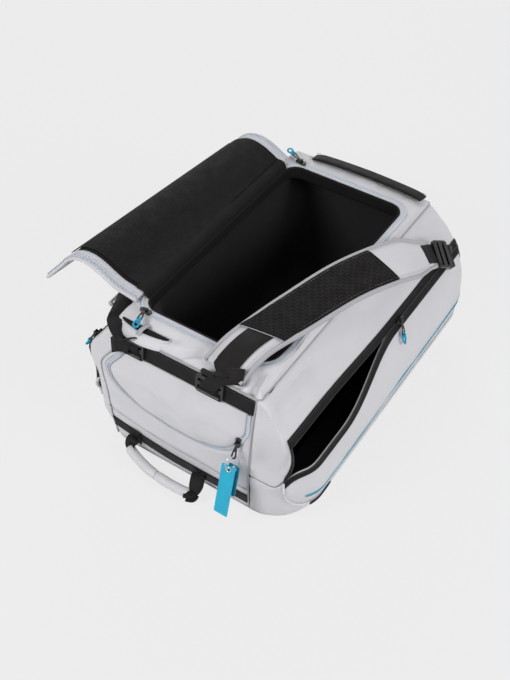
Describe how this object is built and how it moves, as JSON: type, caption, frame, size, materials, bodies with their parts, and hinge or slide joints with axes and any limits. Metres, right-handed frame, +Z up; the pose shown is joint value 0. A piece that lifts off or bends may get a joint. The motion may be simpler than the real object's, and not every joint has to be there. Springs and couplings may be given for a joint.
{
  "type": "paddle case",
  "caption": "Padded racket-sport bag lying on its base, with a wide lid flap folded open, zipped racket compartments on both sides, a shoe pocket, shoulder straps and a haul handle.",
  "frame": {"origin": "centre of the underside of the base", "axes": "+Z up, +Y towards the far end, +X towards the side whose racket compartment is unzipped; the lid opens to -X"},
  "size_m": [0.5381, 0.6145, 0.3152],
  "materials": {
    "shell_fabric": "matte woven polyester with a light coating",
    "base_fabric": "coated woven polyester",
    "lining_fabric": "thin woven lining",
    "black_webbing": "ribbed woven webbing",
    "mesh_fabric": "air mesh",
    "pale_zip": "coil zip on woven tape",
    "black_zip": "coated coil zip on woven tape",
    "stiffener": "sheet plastic",
    "black_plastic": "moulded acetal",
    "ring_steel": "polished wire",
    "teal_tag": "flexible printed sheet, bare"
  },
  "bodies": {
    "root": {"base_panel": "base_fabric", "base_board": "stiffener", "near_end_panel": "shell_fabric", "far_end_panel": "shell_fabric", "right_gusset": "shell_fabric", "left_gusset": "shell_fabric", "right_skirt": "shell_fabric", "left_skirt": "shell_fabric", "right_front_panel": "shell_fabric", "left_front_panel": "shell_fabric", "right_divider": "lining_fabric", "left_divider": "lining_fabric", "top_deck": "shell_fabric", "rim_facing": "lining_fabric", "flap_hinge_binding": "lining_fabric", "main_zip_tape": "pale_zip", "right_zip_tape": "black_zip", "left_zip_tape": "black_zip", "shoe_pocket_liner": "lining_fabric", "shoe_zip_tape": "pale_zip", "near_band": "black_webbing", "low_band": "black_webbing", "far_handle": "black_webbing", "right_strap_pad": "shell_fabric", "right_strap_mesh": "mesh_fabric", "right_strap_webbing": "black_webbing", "right_strap_anchor": "black_webbing", "right_near_ladder_lock": "black_plastic", "right_far_ladder_lock": "black_plastic", "left_strap_pad": "shell_fabric", "left_strap_webbing": "black_webbing", "left_strap_anchor": "black_webbing", "left_near_ladder_lock": "black_plastic", "left_far_ladder_lock": "black_plastic"},
    "flap_inner": {"flap_inner_shell": "shell_fabric", "flap_inner_lining": "lining_fabric", "flap_inner_zip_tape": "pale_zip", "flap_mesh_pocket": "mesh_fabric"},
    "flap_outer": {"flap_outer_shell": "shell_fabric", "flap_outer_lining": "lining_fabric", "flap_outer_zip_tape": "pale_zip"},
    "shoe_door": {"shoe_door": "shell_fabric", "shoe_door_zip_tape": "pale_zip"},
    "haul_handle": {"haul_webbing": "black_webbing", "haul_grip": "shell_fabric"},
    "main_near_slider": {"main_near_slider": "black_plastic"},
    "main_near_puller": {"main_near_puller": "black_plastic"},
    "main_far_slider": {"main_far_slider": "black_plastic"},
    "main_far_puller": {"main_far_puller": "black_plastic"},
    "right_racket_slider": {"right_racket_slider": "black_plastic"},
    "right_racket_puller": {"right_racket_puller": "black_plastic"},
    "left_racket_slider": {"left_racket_slider": "black_plastic"},
    "left_racket_puller": {"left_racket_puller": "black_plastic"},
    "shoe_slider": {"shoe_slider": "black_plastic"},
    "shoe_puller": {"shoe_puller": "black_plastic"},
    "tags": {"split_ring": "ring_steel", "large_tag": "teal_tag", "small_tag": "teal_tag"}
  },
  "joints": [
    {"name": "flap_hinge", "type": "hinge", "parent": "root", "child": "flap_inner", "pos_m": [-0.117, 0, 0.291], "axis": [0, 1, 0], "range_deg": [0, 171], "deforming": ["right_strap_pad", "right_strap_mesh", "right_strap_webbing"]},
    {"name": "flap_fold", "type": "hinge", "parent": "flap_inner", "child": "flap_outer", "pos_m": [-0.24639, -0.214, 0.31149], "axis": [0.0948, 0.9954, -0.015], "range_deg": [0, 58]},
    {"name": "shoe_door_hinge", "type": "hinge", "parent": "root", "child": "shoe_door", "pos_m": [0, -0.26538, 0.234], "axis": [-1, 0, 0], "range_deg": [0, 95]},
    {"name": "haul_handle_hinge", "type": "hinge", "parent": "root", "child": "haul_handle", "pos_m": [-0.038, -0.27355, 0.032], "axis": [-1, 0, 0], "range_deg": [0, 85]},
    {"name": "main_near_slide", "type": "slide", "parent": "root", "child": "main_near_slider", "axis": [1, 0, 0], "range_m": [0, 0.095]},
    {"name": "main_near_pull", "type": "hinge", "parent": "main_near_slider", "child": "main_near_puller", "pos_m": [-0.097, -0.22, 0.292], "axis": [-0.9703, -0.2419, 0], "range_deg": [0, 110]},
    {"name": "main_far_slide", "type": "slide", "parent": "root", "child": "main_far_slider", "axis": [1, 0, 0], "range_m": [0, 0.16]},
    {"name": "main_far_pull", "type": "hinge", "parent": "main_far_slider", "child": "main_far_puller", "pos_m": [-0.097, 0.217, 0.292], "axis": [0.4226, 0.9063, 0], "range_deg": [0, 110]},
    {"name": "right_racket_slide", "type": "slide", "parent": "root", "child": "right_racket_slider", "axis": [0, 1, 0], "range_m": [0, 0.1]},
    {"name": "right_racket_pull", "type": "hinge", "parent": "right_racket_slider", "child": "right_racket_puller", "pos_m": [0.19551, 0.05556, 0.19877], "axis": [-0.158, -0.9397, 0.3033], "range_deg": [0, 110]},
    {"name": "left_racket_slide", "type": "slide", "parent": "root", "child": "left_racket_slider", "axis": [0, 1, 0], "range_m": [0, 0.2]},
    {"name": "left_racket_pull", "type": "hinge", "parent": "left_racket_slider", "child": "left_racket_puller", "pos_m": [-0.19551, -0.23277, 0.19877], "axis": [-0.0643, 0.9903, -0.1234], "range_deg": [0, 110]},
    {"name": "shoe_slide", "type": "slide", "parent": "shoe_door", "child": "shoe_slider", "axis": [0.1676, 0.0848, 0.9822], "range_m": [0, 0.03]},
    {"name": "shoe_pull", "type": "hinge", "parent": "shoe_slider", "child": "shoe_puller", "pos_m": [0.104, -0.27841, 0.17274], "axis": [-1, 0, 0], "range_deg": [0, 75]},
    {"name": "tag_swing", "type": "hinge", "parent": "shoe_puller", "child": "tags", "pos_m": [0.104, -0.28744, 0.15246], "axis": [-1, 0, 0], "range_deg": [-16, 4]}
  ],
  "couplings": [
    {"joint": "flap_fold", "follows": "flap_hinge", "ratio": 0.33918}
  ]
}
